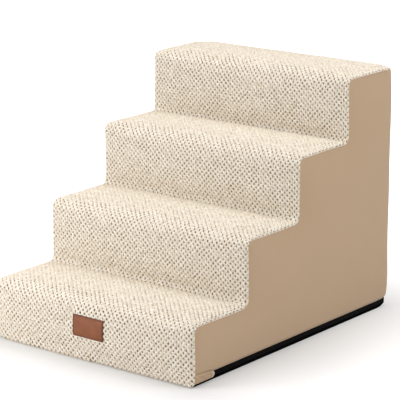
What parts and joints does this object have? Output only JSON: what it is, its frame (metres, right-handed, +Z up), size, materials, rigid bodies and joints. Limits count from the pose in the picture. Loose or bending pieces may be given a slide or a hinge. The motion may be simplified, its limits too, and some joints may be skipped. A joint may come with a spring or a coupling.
{
  "type": "pet stairs",
  "caption": "Foam pet stairs in a removable cover: knitted treads and risers, plain fabric sides and back, zipped non-slip base and a bare leather label.",
  "frame": {"origin": "on the floor, at the middle of the bounding box of the stair", "axes": "+X across the stair to its right side as seen by someone about to climb it, +Y from the front riser to the back, +Z up"},
  "size_m": [0.488, 0.661, 0.503],
  "materials": {
    "foam": "matte",
    "knit": "matte",
    "side_fabric": "matte",
    "base_fabric": "matte",
    "zip_tape": "matte",
    "zip_teeth": "satin",
    "zip_metal": "satin",
    "hem_tape": "matte",
    "leather": "satin",
    "thread": "matte"
  },
  "bodies": {
    "stair": {"foam_slab_1": "foam", "foam_slab_2": "foam", "foam_slab_3": "foam", "foam_slab_4": "foam", "step_cover": "knit", "side_panel_left": "side_fabric", "side_panel_right": "side_fabric", "back_panel": "side_fabric", "base_panel": "base_fabric", "zip_tape_lower": "zip_tape", "zip_tape_upper": "zip_tape", "zip_teeth_lower": "zip_teeth", "zip_teeth_upper": "zip_teeth", "zip_top_stops": "zip_metal", "zip_bottom_stop": "zip_metal", "zip_garage_left": "side_fabric", "zip_garage_right": "side_fabric", "garage_hem_left": "hem_tape", "garage_hem_right": "hem_tape", "label_patch": "leather", "label_stitches": "thread"},
    "slider": {"zip_slider": "zip_metal"},
    "pull": {"zip_pull": "zip_metal"}
  },
  "joints": [
    {"name": "zip_slide", "type": "slide", "parent": "stair", "child": "slider", "axis": [0, 1, 0], "range_m": [0, 0.5531]},
    {"name": "pull_swing", "type": "hinge", "parent": "slider", "child": "pull", "pos_m": [-0.2409, -0.2506, 0.0105], "axis": [0, 0, 1], "range_deg": [0, 150]}
  ]
}
